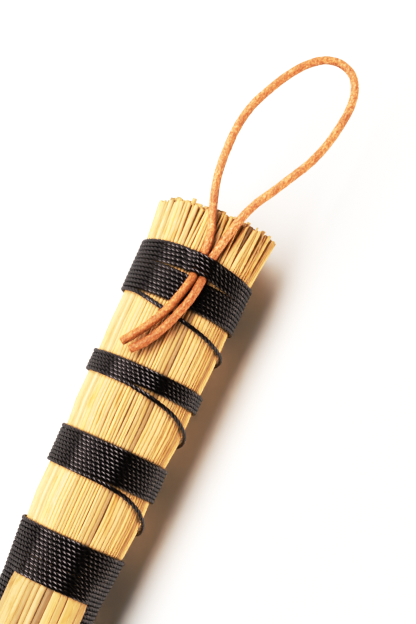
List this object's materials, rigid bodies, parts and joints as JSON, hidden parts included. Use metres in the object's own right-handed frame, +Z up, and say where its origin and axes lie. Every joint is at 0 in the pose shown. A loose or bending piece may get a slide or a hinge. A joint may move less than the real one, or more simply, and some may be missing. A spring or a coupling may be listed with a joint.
{
  "type": "straw brush",
  "caption": "Straw brush lying on its side: round bundle handle bound with dark twisted cord, soft straw head, and a round leather loop with two tails for hanging.",
  "frame": {"origin": "on the surface the brush lies on, under the middle of its length and width, measured without the leather thong", "axes": "+X along the handle towards its cut end, -X towards the straw tips, +Z up with the leather loop on top, +Y across to the brush's left when its tips point towards the viewer"},
  "size_m": [0.3007, 0.052, 0.0369],
  "materials": {
    "straw_core": "matte cut straw",
    "straw_stems": "satin straw",
    "straw_head": "matte split straw",
    "binding_cord": "waxed twisted cord, slight sheen",
    "thong_leather": "natural undyed leather, matte and slightly fibrous"
  },
  "bodies": {
    "brush": {"core_bundle": "straw_core", "outer_stems": "straw_stems", "front_bundle": "straw_head", "back_bundle": "straw_head", "binding_1_upper": "binding_cord", "binding_1_lower": "binding_cord", "binding_2": "binding_cord", "binding_3": "binding_cord", "binding_4": "binding_cord", "lower_binding": "binding_cord", "cross_pass_1": "binding_cord", "cross_pass_2": "binding_cord", "cross_pass_3": "binding_cord", "leather_run": "thong_leather"},
    "loop": {"hanging_loop": "thong_leather"},
    "tail_left": {"left_tail": "thong_leather"},
    "tail_right": {"right_tail": "thong_leather"}
  },
  "joints": [
    {"name": "loop_lift", "type": "hinge", "parent": "brush", "child": "loop", "pos_m": [0.112, -0.00175, 0.03405], "axis": [0, -1, 0], "range_deg": [0, 100]},
    {"name": "left_tail_lift", "type": "hinge", "parent": "brush", "child": "tail_left", "pos_m": [0.1044, 0, 0.03505], "axis": [0, 1, 0], "range_deg": [0, 40]},
    {"name": "right_tail_lift", "type": "hinge", "parent": "brush", "child": "tail_right", "pos_m": [0.1044, -0.0027, 0.03505], "axis": [0, 1, 0], "range_deg": [0, 40]}
  ]
}
